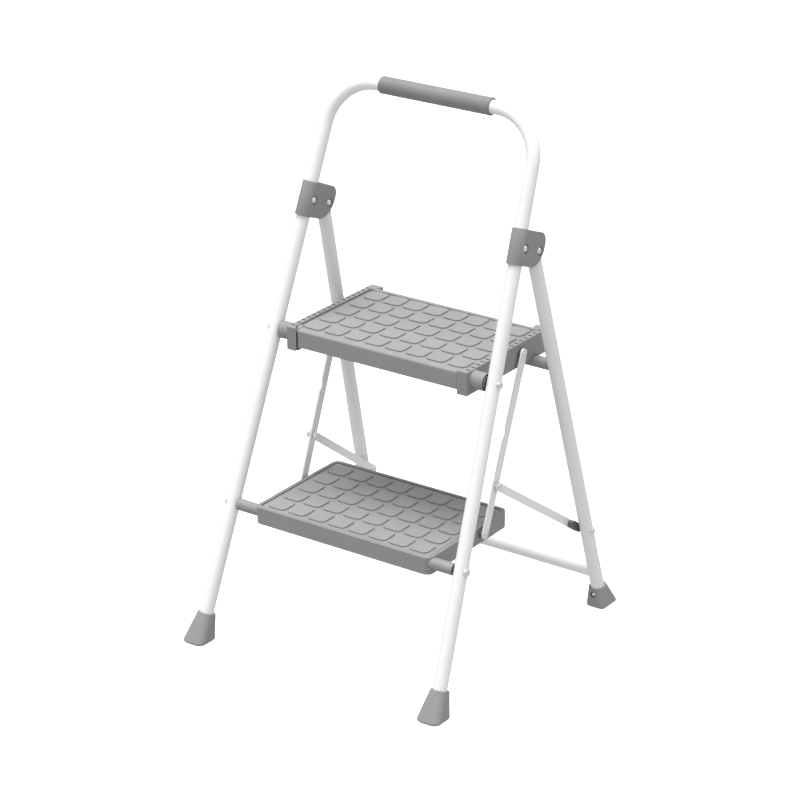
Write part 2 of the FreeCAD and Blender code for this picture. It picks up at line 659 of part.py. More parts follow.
def strap_spacer():
    inner_x = STRAP_END_X + LINK_THICKNESS
    start = strap_point(STRAP_LENGTH - SPACER_LENGTH + STRAP_WIDTH / 2, 0)
    spacer = flat_bar(start, STRAP_END, inner_x, SPACER_X, STRAP_WIDTH)
    return spacer.cut(cross_rod(inner_x - 1, SPACER_X + 1, STRAP_END, RIVET_RADIUS + SEATED))


def strap_end_rivet():
    """The half of the rear rivet that stays in the strap."""
    shank = cross_rod(STRAP_END_X - 1, SPACER_X, STRAP_END, RIVET_RADIUS)
    return shank.fuse(head(STRAP_END_X, -1, STRAP_END, STRAP_HEAD))


def pair(name, shape):
    """A right-hand piece and its mirror image, each in its own file."""
    return {name + "_right": shape, name + "_left": mirrored(shape)}


def model():
    upper_half = UPPER.x - LEG_OUT - TUBE_END_ROOM
    lower_half = LOWER.x - LEG_OUT - TUBE_END_ROOM
    washer_end = LINK_X - HEAD_ROOM
    washer_hole = RIVET_RADIUS + SEATED
    upper_washer = ring(UPPER_HALF, washer_end, LINK_TOP, WASHER_RADIUS, washer_hole)
    lower_washer = ring(LOWER_HALF, washer_end, LINK_BOTTOM, WASHER_RADIUS, washer_hole)
    strap_washer = ring(LINK_X + LINK_THICKNESS, STRAP_X - HEAD_ROOM, LINK_MID, WASHER_RADIUS, washer_hole)
    nodes = {
        "front_frame_tube": front_frame_tube(),
        "hand_grip": hand_grip(),
        "bracket_rivets": both(bracket_rivet(CLAMP)),
        "hinge_pins": both(bracket_rivet(HINGE)),
        "upper_pivot_rod": pivot_rod(UPPER),
        "lower_pivot_rod": pivot_rod(LOWER),
        "lower_cross_tube": welded_tube(rear_leg(CROSS_TUBE_SHARE), CROSS_TUBE_RADIUS),
        "upper_rest_bar": welded_tube(REST_BAR, REST_BAR_RADIUS),
        "rear_foot_screws": both(rear_foot_screw()),
        "strap_leg_rivets": both(strap_leg_rivet()),
        "upper_tread_panel": upper_tread_panel(),
        "upper_pivot_tube": pivot_tube(UPPER, upper_half),
        "upper_tube_bushes": both(tube_plug(UPPER, upper_half)),
        "link_top_rivets": both(tread_link_rivet(LINK_TOP, UPPER_HALF - TREAD_RIVET_DEPTH)),
        "link_top_washers": both(upper_washer),
        "lower_tread_panel": lower_tread_panel(),
        "lower_pivot_tube": pivot_tube(LOWER, lower_half),
        "lower_tube_bushes": both(tube_plug(LOWER, lower_half)),
        "link_bottom_rivets": both(tread_link_rivet(LINK_BOTTOM, LOWER_HALF - TREAD_RIVET_DEPTH)),
        "link_bottom_washers": both(lower_washer),
    }
    nodes.update(pair("hinge_bracket", hinge_bracket()))
    nodes.update(pair("front_foot", front_foot()))
    nodes.update(pair("rear_leg", rear_leg_tube()))
    nodes.update(pair("rear_foot", rear_foot()))
    nodes.update(pair("upper_end_cap", upper_end_cap()))
    nodes.update(pair("link_bar", link_bar()))
    nodes.update(pair("link_mid_rivet", link_mid_rivet()))
    nodes.update(pair("link_mid_washer", strap_washer))
    nodes.update(pair("strap_bar", strap_bar()))
    nodes.update(pair("strap_spacer", strap_spacer()))
    nodes.update(pair("strap_end_rivet", strap_end_rivet()))
    return nodes


os.makedirs("parts", exist_ok=True)
for node, shape in model().items():
    shape.exportStep("parts/" + node + ".step")
    print(node, len(shape.Solids), shape.isValid(), round(shape.Volume / 1000, 1), "cm3")
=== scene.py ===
import json
import math

import bmesh
import bpy
from mathutils import Matrix, Vector


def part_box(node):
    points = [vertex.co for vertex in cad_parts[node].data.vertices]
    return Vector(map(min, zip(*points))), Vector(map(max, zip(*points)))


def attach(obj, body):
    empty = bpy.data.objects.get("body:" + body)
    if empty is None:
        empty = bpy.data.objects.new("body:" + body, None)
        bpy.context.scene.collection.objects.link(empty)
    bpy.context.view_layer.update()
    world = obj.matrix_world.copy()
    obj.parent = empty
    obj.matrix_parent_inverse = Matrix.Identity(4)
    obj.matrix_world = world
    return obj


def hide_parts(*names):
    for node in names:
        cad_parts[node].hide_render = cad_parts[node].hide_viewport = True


# The looks of a two-step folding stool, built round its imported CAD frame. Lengths are in metres
# and MM turns millimetres into them. Right-hand pieces are drawn and left ones are mirrored.
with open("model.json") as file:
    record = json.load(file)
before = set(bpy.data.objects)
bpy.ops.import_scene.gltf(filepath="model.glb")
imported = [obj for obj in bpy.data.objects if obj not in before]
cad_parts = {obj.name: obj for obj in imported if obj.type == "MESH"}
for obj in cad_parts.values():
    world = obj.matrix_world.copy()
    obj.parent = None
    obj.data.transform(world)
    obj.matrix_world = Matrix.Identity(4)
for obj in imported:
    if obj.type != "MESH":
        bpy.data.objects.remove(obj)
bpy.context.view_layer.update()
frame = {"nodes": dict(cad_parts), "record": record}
record = frame["record"]
MM = 0.001

# Camera, placed from the point it looks at.
CAMERA_TARGET = Vector((0.0212, -0.0349, 0.400))
CAMERA_DISTANCE = 4.41
CAMERA_AZIMUTH = math.radians(34.94)
CAMERA_ELEVATION = math.radians(22.785)
CAMERA_LENS = 129.0

# Raised tiles on both treads.
TILE_COLUMNS = 8
TILE_ROWS = 5
TILE_PITCH_X = 38.27 * MM
TILE_WIDTH = 33.0 * MM
TILE_DEPTH = 34.0 * MM
TILE_CORNER = 8.0 * MM
TILE_HEIGHT = 1.9 * MM
TILE_EDGE = 0.45 * MM

# Moulded treads.
SKIN = 3.5 * MM
RIB = 2.4 * MM
RIB_COLUMNS = 7             # of hollows between the ribs
RIB_ROWS = 5
POCKET_EDGE = 0.8 * MM      # rounding inside the hollows between them
SINK = 0.5 * MM             # how far one solid reaches into another before they are joined
SAME = 0.001 * MM           # heights closer than this count as one
CUT = 5.0 * MM              # how far a cutting solid reaches past what it cuts
PAST_SIDE = 200.0 * MM      # an X beyond both treads and caps
BORE_ROOM = 0.5 * MM        # between a pivot tube and its way through a tread


# Meshes.

def add_object(name, bm):
    """A new object from a bmesh, with its faces turned outwards."""
    bmesh.ops.recalc_face_normals(bm, faces=bm.faces)
    mesh = bpy.data.meshes.new(name)
    bm.to_mesh(mesh)
    bm.free()
    obj = bpy.data.objects.new(name, mesh)
    bpy.context.scene.collection.objects.link(obj)
    return obj


def loft(name, rings, hollow=False):
    """A closed solid through rings of equally many points.

    It is filled at its first and last ring, or, if hollow, its last ring meets its first.
    """
    bm = bmesh.new()
    loops = [[bm.verts.new(point) for point in ring] for ring in rings]
    count = len(loops[0])
    following = loops[1:] + loops[:1] if hollow else loops[1:]
    for low, high in zip(loops, following):
        for i in range(count):
            j = (i + 1) % count
            bm.faces.new((low[i], low[j], high[j], high[i]))
    if not hollow:
        bm.faces.new(loops[0])
        bm.faces.new(loops[-1])
    return add_object(name, bm)


def rounded_rectangle(x_range, y_range, radius, z, steps=6):
    """The points of a rectangle with round corners, anticlockwise from above."""
    x0, x1 = x_range
    y0, y1 = y_range
    centres = (
        (x1 - radius, y0 + radius, -90), (x1 - radius, y1 - radius, 0),
        (x0 + radius, y1 - radius, 90), (x0 + radius, y0 + radius, 180))
    points = []
    for x, y, first in centres:
        for step in range(steps + 1):
            angle = math.radians(first + 90 * step / steps)
            points.append(Vector((x + radius * math.cos(angle), y + radius * math.sin(angle), z)))
    return points


def inset_rings(x_range, y_range, radius, profile, steps=6):
    """Rings of one rounded rectangle drawn in by each inset in a profile of (inset, z)."""
    rings = []
    for inset, z in profile:
        x = (x_range[0] + inset, x_range[1] - inset)
        y = (y_range[0] + inset, y_range[1] - inset)
        rings.append(rounded_rectangle(x, y, max(radius - inset, 0.2 * MM), z, steps))
    return rings


def quarter(centre, radius, first, steps=5):
    """Points a quarter turn round a centre, from an angle in degrees."""
    points = []
    for step in range(steps + 1):
        angle = math.radians(first + 90 * step / steps)
        points.append((centre[0] + radius * math.cos(angle), centre[1] + radius * math.sin(angle)))
    return points


def extruded(name, outline, x_range):
    """A solid with one outline of (y, z) along X."""
    rings = [[Vector((x, y, z)) for y, z in outline] for x in x_range]
    return loft(name, rings)


def round_edges(bm, edges, radius, segments):
    bmesh.ops.bevel(bm, geom=edges, offset=radius, segments=segments, profile=0.5, affect="EDGES")


def prism(name, outline, z_range, corner, edge):
    """An upright solid over an outline of (x, y), with its corners and its top edge rounded."""
    bm = bmesh.new()
    low = [bm.verts.new((x, y, z_range[0])) for x, y in outline]
    high = [bm.verts.new((x, y, z_range[1])) for x, y in outline]
    count = len(outline)
    for i in range(count):
        j = (i + 1) % count
        bm.faces.new((low[i], low[j], high[j], high[i]))
    bm.faces.new(low)
    bm.faces.new(high)
    upright = [e for e in bm.edges if abs(e.verts[0].co.z - e.verts[1].co.z) > SAME]
    round_edges(bm, upright, corner, 4)
    top = [e for e in bm.edges if min(v.co.z for v in e.verts) > z_range[1] - SAME]
    round_edges(bm, top, edge, 3)
    return add_object(name, bm)


def box(name, x_range, y_range, z_range, edge=0.0):
    """A box with all its edges rounded."""
    bm = bmesh.new()
    bmesh.ops.create_cube(bm, size=1.0)
    for v in bm.verts:
        v.co = Vector((
            x_range[0] if v.co.x < 0 else x_range[1],
            y_range[0] if v.co.y < 0 else y_range[1],
            z_range[0] if v.co.z < 0 else z_range[1]))
    if edge:
        round_edges(bm, list(bm.edges), edge, 3)
    return add_object(name, bm)


def turned(name, profile, y, z, sides=72, hollow=False):
    """A solid turned about a line along X, from a profile of (x, radius)."""
    rings = []
    for x, radius in profile:
        ring = []
        for side in range(sides):
            angle = 2 * math.pi * side / sides
            ring.append(Vector((x, y + radius * math.cos(angle), z + radius * math.sin(angle))))
        rings.append(ring)
    return loft(name, rings, hollow)


def gathered(objects):
    """One object holding several that stand clear of each other."""
    bm = bmesh.new()
    for obj in objects:
        bm.from_mesh(obj.data)
        drop(obj)
    return add_object("gathered", bm)


def drop(obj):
    mesh = obj.data
    bpy.data.objects.remove(obj)
    bpy.data.meshes.remove(mesh)


def combine(obj, operation, other):
    """Joins, cuts or intersects one solid with another, which is used up."""
    modifier = obj.modifiers.new("combine", "BOOLEAN")
    modifier.operation = operation
    modifier.solver = "EXACT"
    modifier.object = other
    depsgraph = bpy.context.evaluated_depsgraph_get()
    depsgraph.update()
    mesh = bpy.data.meshes.new_from_object(obj.evaluated_get(depsgraph))
    before = obj.data
    obj.modifiers.clear()
    obj.data = mesh
    bpy.data.meshes.remove(before)
    drop(other)
    return obj


def mirrored(obj, name):
    """A copy mirrored across the stool."""
    mesh = obj.data.copy()
    mesh.transform(Matrix.Scale(-1, 4, Vector((1, 0, 0))))
    mesh.flip_normals()
    copy = bpy.data.objects.new(name, mesh)
    bpy.context.scene.collection.objects.link(copy)
    return copy


def keep_flat(obj):
    """Lets large faces set the shading at their edges, so that they look flat."""
    modifier = obj.modifiers.new("flat faces", "WEIGHTED_NORMAL")
    modifier.keep_sharp = True
    modifier.weight = 80


def smooth(obj, angle=math.radians(32)):
    """Shades rounded edges smooth, keeps sharp ones sharp and flat faces flat."""
    bm = bmesh.new()
    bm.from_mesh(obj.data)
    bmesh.ops.remove_doubles(bm, verts=bm.verts, dist=2 * SAME)
    for face in bm.faces:
        face.smooth = True
    for edge in bm.edges:
        edge.smooth = len(edge.link_faces) == 2 and edge.calc_face_angle(0.0) < angle
    bm.to_mesh(obj.data)
    bm.free()
    keep_flat(obj)
    return obj


# Materials.

NOISE = "ShaderNodeTexNoise"
CELLS = "ShaderNodeTexVoronoi"


def principled(name, color, roughness, **sockets):
    """A material with a Principled shader, its other sockets set by keyword."""
    material = bpy.data.materials.new(name)
    material.use_nodes = True
    shader = material.node_tree.nodes["Principled BSDF"]
    shader.inputs["Base Color"].default_value = (*color, 1)
    shader.inputs["Roughness"].default_value = roughness
    for socket, value in sockets.items():
        shader.inputs[socket.replace("_", " ")].default_value = value
    return material


def noise(material, scale, detail=3.0, kind=NOISE):
    """A texture in the object's own metres: its scale is in cycles per metre."""
    tree = material.node_tree
    place = tree.nodes.new("ShaderNodeTexCoord")
    texture = tree.nodes.new(kind)
    texture.inputs["Scale"].default_value = scale
    if "Detail" in texture.inputs:
        texture.inputs["Detail"].default_value = detail
    tree.links.new(place.outputs["Object"], texture.inputs["Vector"])
    return texture


def spread(material, value, low, high):
    """Takes a texture's value to a range."""
    node = material.node_tree.nodes.new("ShaderNodeMapRange")
    node.inputs["From Min"].default_value = 0.3
    node.inputs["From Max"].default_value = 0.7
    node.inputs["To Min"].default_value = low
    node.inputs["To Max"].default_value = high
    material.node_tree.links.new(value, node.inputs["Value"])
    return node.outputs["Result"]


def tint(material, color, cloud_scale, cloud, speck_scale, speck):
    """Makes a colour lighter and darker in broad clouds and in fine specks."""
    tree = material.node_tree
    clouds = spread(material, noise(material, cloud_scale).outputs[0], 1 - cloud, 1 + cloud)
    specks = spread(material, noise(material, speck_scale, 2.0).outputs[0], 1 - speck, 1 + speck)
    both = tree.nodes.new("ShaderNodeMath")
    both.operation = "MULTIPLY"
    tree.links.new(clouds, both.inputs[0])
    tree.links.new(specks, both.inputs[1])
    scaled = tree.nodes.new("ShaderNodeVectorMath")
    scaled.operation = "SCALE"
    scaled.inputs[0].default_value = color
    tree.links.new(both.outputs[0], scaled.inputs["Scale"])
    tree.links.new(scaled.outputs[0], tree.nodes["Principled BSDF"].inputs["Base Color"])


def shade_crevices(material, reach, darkest):
    """Paints shade into the colour in gaps, grooves and corners, where ambient occlusion finds
    them, down to a share of it.
    """
    tree = material.node_tree
    socket = tree.nodes["Principled BSDF"].inputs["Base Color"]
    color = socket.links[0].from_socket
    occlusion_shade = tree.nodes.new("ShaderNodeAmbientOcclusion")
    occlusion_shade.samples = 6
    occlusion_shade.inputs["Distance"].default_value = reach
    scaled = tree.nodes.new("ShaderNodeVectorMath")
    scaled.operation = "SCALE"
    level = tree.nodes.new("ShaderNodeMapRange")
    level.inputs["From Min"].default_value = 0.15
    level.inputs["From Max"].default_value = 0.75
    level.inputs["To Min"].default_value = darkest
    tree.links.new(occlusion_shade.outputs["AO"], level.inputs["Value"])
    tree.links.new(color, scaled.inputs[0])
    tree.links.new(level.outputs["Result"], scaled.inputs["Scale"])
    tree.links.new(scaled.outputs[0], socket)


def gloss(material, scale, low, high):
    """Varies the roughness in patches."""
    tree = material.node_tree
    value = spread(material, noise(material, scale).outputs[0], low, high)
    tree.links.new(value, tree.nodes["Principled BSDF"].inputs["Roughness"])


def relief(material, layers):
    """A fine surface, from layers of (texture kind, scale, height)."""
    tree = material.node_tree
    normal = None
    for kind, scale, height in layers:
        texture = noise(material, scale, 2.0, kind)
        bump = tree.nodes.new("ShaderNodeBump")
        bump.inputs["Strength"].default_value = 1.0
        bump.inputs["Distance"].default_value = height
        tree.links.new(texture.outputs[0], bump.inputs["Height"])
        if normal is not None:
            tree.links.new(normal, bump.inputs["Normal"])
        normal = bump.outputs["Normal"]
    tree.links.new(normal, tree.nodes["Principled BSDF"].inputs["Normal"])


def white_paint():
    """Gloss powder coat with its faint orange peel."""
    color = (0.86, 0.86, 0.865)
    material = principled("white_powder_coat", color, 0.34, Coat_Weight=0.35, Coat_Roughness=0.16)
    tint(material, color, 9.0, 0.012, 700.0, 0.006)
    gloss(material, 25.0, 0.30, 0.38)
    relief(material, [(NOISE, 420.0, 0.06 * MM), (NOISE, 1600.0, 0.01 * MM)])
    return material


def grey_paint():
    color = (0.265, 0.265, 0.268)
    material = principled("grey_satin_paint", color, 0.42, Coat_Weight=0.15, Coat_Roughness=0.25)
    tint(material, color, 12.0, 0.03, 900.0, 0.02)
    gloss(material, 40.0, 0.38, 0.48)
    relief(material, [(NOISE, 500.0, 0.05 * MM)])
    return material


def tread_plastic():
    """Moulded plastic with a spark-eroded grain."""
    color = (0.285, 0.285, 0.287)
    material = principled("moulded_tread_plastic", color, 0.5, Specular_IOR_Level=0.3)
    tint(material, color, 14.0, 0.025, 1500.0, 0.05)
    # Painted shade: the colour goes darker in the gaps round the tiles, along the steps and
    # grooves, and in corners.
    shade_crevices(material, 3.5 * MM, 0.25)
    gloss(material, 30.0, 0.46, 0.56)
    relief(material, [(CELLS, 1300.0, 0.05 * MM), (NOISE, 2600.0, 0.03 * MM)])
    return material


def grey_plastic():
    color = (0.27, 0.27, 0.272)
    material = principled("moulded_grey_plastic", color, 0.45, Specular_IOR_Level=0.35)
    tint(material, color, 16.0, 0.025, 1800.0, 0.035)
    # Painted shade: the colour goes darker in gaps, slots, recesses and inside corners.
    shade_crevices(material, 3.5 * MM, 0.2)
    gloss(material, 45.0, 0.40, 0.50)
    relief(material, [(NOISE, 1800.0, 0.04 * MM), (NOISE, 300.0, 0.03 * MM)])
    return material


def grip_foam():
    """Closed-cell foam sleeve."""
    color = (0.218, 0.218, 0.22)
    material = principled("grip_foam_sleeve", color, 0.6, Sheen_Weight=0.1, Sheen_Roughness=0.5)
    tint(material, color, 22.0, 0.05, 1100.0, 0.09)
    gloss(material, 60.0, 0.42, 0.62)
    relief(material, [(CELLS, 900.0, 0.18 * MM), (NOISE, 90.0, 0.4 * MM)])
    return material


def dark_plastic():
    color = (0.13, 0.13, 0.132)
    material = principled("dark_nylon", color, 0.5)
    tint(material, color, 20.0, 0.05, 1500.0, 0.08)
    gloss(material, 60.0, 0.44, 0.58)
    relief(material, [(NOISE, 1500.0, 0.04 * MM)])
    return material


def bright_steel():
    """Nickel-plated rivets, a little clouded from handling."""
    color = (0.84, 0.84, 0.85)
    material = principled("bright_nickel", color, 0.18, Metallic=1.0)
    tint(material, color, 60.0, 0.03, 2500.0, 0.03)
    # Painted shade: a dark ring round each rivet head, where it meets the part it holds.
    shade_crevices(material, 3.0 * MM, 0.1)
    gloss(material, 500.0, 0.16, 0.26)
    relief(material, [(NOISE, 900.0, 0.02 * MM)])
    return material


FINISHES = {
    "white_paint": white_paint(),
    "grey_paint": grey_paint(),
    "tread_plastic": tread_plastic(),
    "grey_plastic": grey_plastic(),
    "grip_foam": grip_foam(),
    "dark_plastic": dark_plastic(),
    "bright_steel": bright_steel(),
}
SLOTS = {part["node"]: part["material_slot"] for part in record["subparts"]}


def place(obj, body, node):
    """Puts a finished piece on its body in place of a CAD node."""
    obj.data.materials.clear()
    obj.data.materials.append(FINISHES[SLOTS[node]])
    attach(obj, body)
    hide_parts(node)


# Treads.

def tiles(y_start, pitch_y, z):
    """The raised tiles, standing on the tread's top at z."""
    field = (TILE_COLUMNS - 1) * TILE_PITCH_X + TILE_WIDTH
    profile = [
        (0.0, z - SINK), (0.0, z + TILE_HEIGHT - TILE_EDGE),
        (TILE_EDGE * 0.3, z + TILE_HEIGHT - TILE_EDGE * 0.3), (TILE_EDGE, z + TILE_HEIGHT)]
    made = []
    for column in range(TILE_COLUMNS):
        x = -field / 2 + column * TILE_PITCH_X
        for row in range(TILE_ROWS):
            y = y_start + row * pitch_y
            rings = inset_rings((x, x + TILE_WIDTH), (y, y + TILE_DEPTH), TILE_CORNER, profile)
            made.append(loft("tile", rings))
    return gathered(made)


def pockets(x_range, y_range, z_range):
    """The hollows between the ribs under a tread."""
    wide = (x_range[1] - x_range[0] + RIB) / RIB_COLUMNS
    deep = (y_range[1] - y_range[0] + RIB) / RIB_ROWS
    made = []
    for column in range(RIB_COLUMNS):
        for row in range(RIB_ROWS):
            x = x_range[0] + column * wide
            y = y_range[0] + row * deep
            x_ends = (x, x + wide - RIB)
            y_ends = (y, y + deep - RIB)
            made.append(box("pocket", x_ends, y_ends, z_range, POCKET_EDGE))
    return gathered(made)


def centre_of(node):
    low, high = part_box(node)
    return (low + high) / 2


def radius_of(node):
    """The radius of a tube or sleeve that lies along X."""
    low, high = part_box(node)
    return (high.z - low.z) / 2


def tread_bore(tube):
    """The way for a pivot tube, a little wider than the tube."""
    pivot = centre_of(tube)
    radius = radius_of(tube) + BORE_ROOM
    return turned("bore", [(-PAST_SIDE, radius), (PAST_SIDE, radius)], pivot.y, pivot.z)


DECK_HALF = 157.4 * MM      # half the width of the upper tread's top plate
DECK_START = 9.0 * MM       # how far behind the front edge it widens
LIP = 3.6 * MM              # radius of its front edge
LIP_STEP = 0.6 * MM         # down from the front edge to the plate the tiles stand on
LINE_START = 8.0 * MM       # the fine line along the front, from the front edge
LINE_SIDE = 0.35 * MM       # slope of its sides
LINE_WIDTH = 1.2 * MM       # to the far side of its floor
LINE_RISE = 0.4 * MM        # slope up from there to the plate
LINE_DEPTH = 0.5 * MM
BOTTOM_ROUND = 1.0 * MM     # radius of its lower edges
TOP_DROP = 0.3 * MM         # down from the CAD panel's top to the front edge's
REAR_RIM = 8.4 * MM         # width of the rim along the back
REAR_RIM_HEIGHT = 2.0 * MM
RIM_SLOPE = 0.5 * MM
RIM_CREST = 1.1 * MM        # how far back the rim is level
RIM_ROUND = 1.8 * MM
UPPER_TILES_START = 15.9 * MM
UPPER_TILES_PITCH = 39.25 * MM


def rim_outline(rim, back, top, crest):
    """The rim along the back, from the plate at its foot over to its rear face."""
    points = [(rim, top), (rim + RIM_SLOPE, crest - RIM_SLOPE), (rim + RIM_CREST, crest)]
    return points + quarter((back - RIM_ROUND, crest - RIM_ROUND), RIM_ROUND, 0)[::-1]


def upper_outline(low, high, lip, top, rim):
    """The panel's section: its front edge, the fine line, the plate and the rear rim."""
    line = low.y + LINE_START
    floor = top - LINE_DEPTH
    below = low.z + BOTTOM_ROUND
    outline = quarter((low.y + BOTTOM_ROUND, below), BOTTOM_ROUND, 180)[::-1]
    outline += quarter((low.y + LIP, lip - LIP), LIP, 90)[::-1]
    outline += [
        (line, lip), (line + LINE_SIDE, floor), (line + LINE_WIDTH, floor),
        (line + LINE_WIDTH + LINE_RISE, top)]
    outline += rim
    outline += quarter((high.y - BOTTOM_ROUND, below), BOTTOM_ROUND, 270)[::-1]
    return outline


def upper_tread():
    low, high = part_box("upper_tread_panel")
    lip = high.z - TOP_DROP
    top = lip - LIP_STEP
    rim_start = high.y - REAR_RIM
    rim = rim_outline(rim_start, high.y, top, lip + REAR_RIM_HEIGHT)
    outline = upper_outline(low, high, lip, top, rim)
    panel = extruded("upper_tread_moulding", outline, (low.x, high.x))
    deck = box("deck", (-DECK_HALF, DECK_HALF), (low.y + DECK_START, high.y), (top - SKIN, top))
    sunk_rim = [(rim_start, top - SINK), *rim, (high.y, top - SINK)]
    deck_rim = extruded("deck_rim", sunk_rim, (-DECK_HALF, DECK_HALF))
    combine(panel, "UNION", deck)
    combine(panel, "UNION", deck_rim)
    combine(panel, "UNION", tiles(low.y + UPPER_TILES_START, UPPER_TILES_PITCH, top))
    inside_x = (low.x + SKIN, high.x - SKIN)
    inside_y = (low.y + SKIN, high.y - SKIN)
    combine(panel, "DIFFERENCE", pockets(inside_x, inside_y, (low.z - CUT, top - SKIN)))
    combine(panel, "DIFFERENCE", tread_bore("upper_pivot_tube"))
    place(smooth(panel), "upper_tread", "upper_tread_panel")


LOWER_CORNER = 12.0 * MM
FIELD_DROP = 1.3 * MM       # down from the border to the plate the tiles stand on
# Up the wall from below, as (inset, rise) in millimetres.
LOWER_WALL = ((1.2, 0.0), (0.5, 0.4), (0.1, 1.0), (0.0, 1.8))
# Over the border to the plate, as (inset, drop) in millimetres: the edge, a fine line, and the
# ridge with the groove behind it.
LOWER_BORDER = (
    (0.0, 1.1), (0.1, 0.7), (0.35, 0.35), (0.7, 0.1), (1.1, 0.0),
    (2.4, 0.0), (2.6, 0.5), (3.1, 0.5), (3.3, 0.0),
    (6.1, 0.0), (6.4, 0.3), (6.6, 2.3), (8.2, 2.3), (8.4, 1.5), (8.7, 1.3))
LOWER_TILES_START = 12.6 * MM
LOWER_TILES_PITCH = 39.5 * MM


def lower_tread():
    low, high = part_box("lower_tread_panel")
    field = high.z - FIELD_DROP
    profile = [(inset * MM, low.z + rise * MM) for inset, rise in LOWER_WALL]
    profile += [(inset * MM, high.z - fall * MM) for inset, fall in LOWER_BORDER]
    rings = inset_rings((low.x, high.x), (low.y, high.y), LOWER_CORNER, profile, 10)
    panel = loft("lower_tread_moulding", rings)
    combine(panel, "UNION", tiles(low.y + LOWER_TILES_START, LOWER_TILES_PITCH, field))
    inside_x = (low.x + SKIN, high.x - SKIN)
    inside_y = (low.y + SKIN, high.y - SKIN)
    roof = field - SKIN
    cavity = [(0.0, low.z - CUT + 2 * SINK), (0.0, roof)]
    inside = loft("inside", inset_rings(inside_x, inside_y, LOWER_CORNER - SKIN, cavity))
    hollows = combine(pockets(inside_x, inside_y, (low.z - CUT, roof)), "INTERSECT", inside)
    combine(panel, "DIFFERENCE", hollows)
    combine(panel, "DIFFERENCE", tread_bore("lower_pivot_tube"))
    place(smooth(panel), "lower_tread", "lower_tread_panel")


# End caps of the upper tread.

STRIP = 157.5 * MM          # inner edge of the raised strip
CAP_SIDE = 168.3 * MM       # the flat outer side that the boss stands on
FLARE_FRONT = 10.0 * MM
FLARE_BACK = 20.5 * MM
TAIL_WIDTH = 9.0 * MM
CAP_GAP = 1.1 * MM          # between a cap's front and the panel
CAP_CORNER = 1.1 * MM
CAP_EDGE = 0.6 * MM
FLANGE_OVERLAP = 3.0 * MM   # how far the flange under the panel runs into the cap
FLANGE_FRONT = 4.0 * MM     # how far it stays back from the cap's ends
FLANGE_BACK = 6.0 * MM
FLANGE_ROOM = 0.1 * MM      # between it and the plate above
FLANGE_EDGE = 0.4 * MM
SLOT_PITCH = 13.2 * MM
SLOT_WIDTH = 3.2 * MM
SLOT_DEPTH = 2.0 * MM
SLOT_CORNER = 1.2 * MM
SLOT_INNER = 1.6 * MM       # from the strip's edges to a slot's ends
SLOT_OUTER = 1.4 * MM
BOSS_RADIUS = 14.0 * MM
BOSS_FILLET = 2.0 * MM
# The boss's rolled end, as (back from the end, in from the radius) in millimetres.
BOSS_END = ((0.8, 0.0), (0.25, 0.25), (0.0, 0.8), (0.0, 1.6), (0.4, 2.0), (6.0, 2.2))
AROUND_PIVOT = 18.0 * MM    # solid stretches between the wells underneath
AROUND_RIVET = 12.0 * MM
AROUND_BAR = 14.0 * MM
WELL_ROOF = 1.0 * MM
WELL_EDGE = 0.6 * MM
NOTCH_ROOM = 1.2 * MM       # round the rest bar, in the cap's notch
NOTCH_REACH = (100.0 * MM, PAST_SIDE)


def cap_slots(front, back, top):
    """The row of slots across the strip."""
    x_range = (STRIP + SLOT_INNER, CAP_SIDE - SLOT_OUTER)
    made = []
    y = front + FLARE_FRONT
    while y < back - FLARE_FRONT:
        profile = [(0.0, top - SLOT_DEPTH), (0.0, top + 2 * MM)]
        rings = inset_rings(x_range, (y, y + SLOT_WIDTH), SLOT_CORNER, profile, 4)
        made.append(loft("slot", rings))
        y += SLOT_PITCH
    return gathered(made)


def cap_boss(inner, end, pivot):
    """The hollow boss that the pivot tube comes out of."""
    profile = [(inner, BOSS_RADIUS), (CAP_SIDE - 1 * MM, BOSS_RADIUS + BOSS_FILLET)]
    for step in range(6):
        angle = math.radians(90 * step / 5)
        x = CAP_SIDE + BOSS_FILLET * (1 - math.cos(angle))
        profile.append((x, BOSS_RADIUS + BOSS_FILLET * (1 - math.sin(angle))))
    profile += [(end - back * MM, BOSS_RADIUS - inset * MM) for back, inset in BOSS_END]
    return turned("boss", profile, pivot.y, pivot.z)


def cap_wells(inner, back, floor, roof, pivot, bar):
    """The hollows under the cap, clear of the pivot, the link's rivet and the rest bar."""
    rivet = centre_of("link_top_rivets")
    stretches = [
        (pivot.y + AROUND_PIVOT, rivet.y - AROUND_RIVET),
        (rivet.y + AROUND_RIVET, bar.y - AROUND_BAR),
        (bar.y + AROUND_BAR, back - SKIN)]
    x_range = (inner + SKIN, CAP_SIDE - SKIN)
    z_range = (floor, roof)
    return gathered([box("well", x_range, y_range, z_range, WELL_EDGE) for y_range in stretches])


def cut_notch(cap, low_z, bar):
    """Makes room for the rest bar that the tread lies on, open downwards."""
    radius = radius_of("upper_rest_bar") + NOTCH_ROOM
    combine(cap, "DIFFERENCE", turned("notch", [(x, radius) for x in NOTCH_REACH], bar.y, bar.z))
    y_range = (bar.y - radius, bar.y + radius)
    z_range = (low_z - 2 * CUT, bar.z)
    combine(cap, "DIFFERENCE", box("way_out", NOTCH_REACH, y_range, z_range))


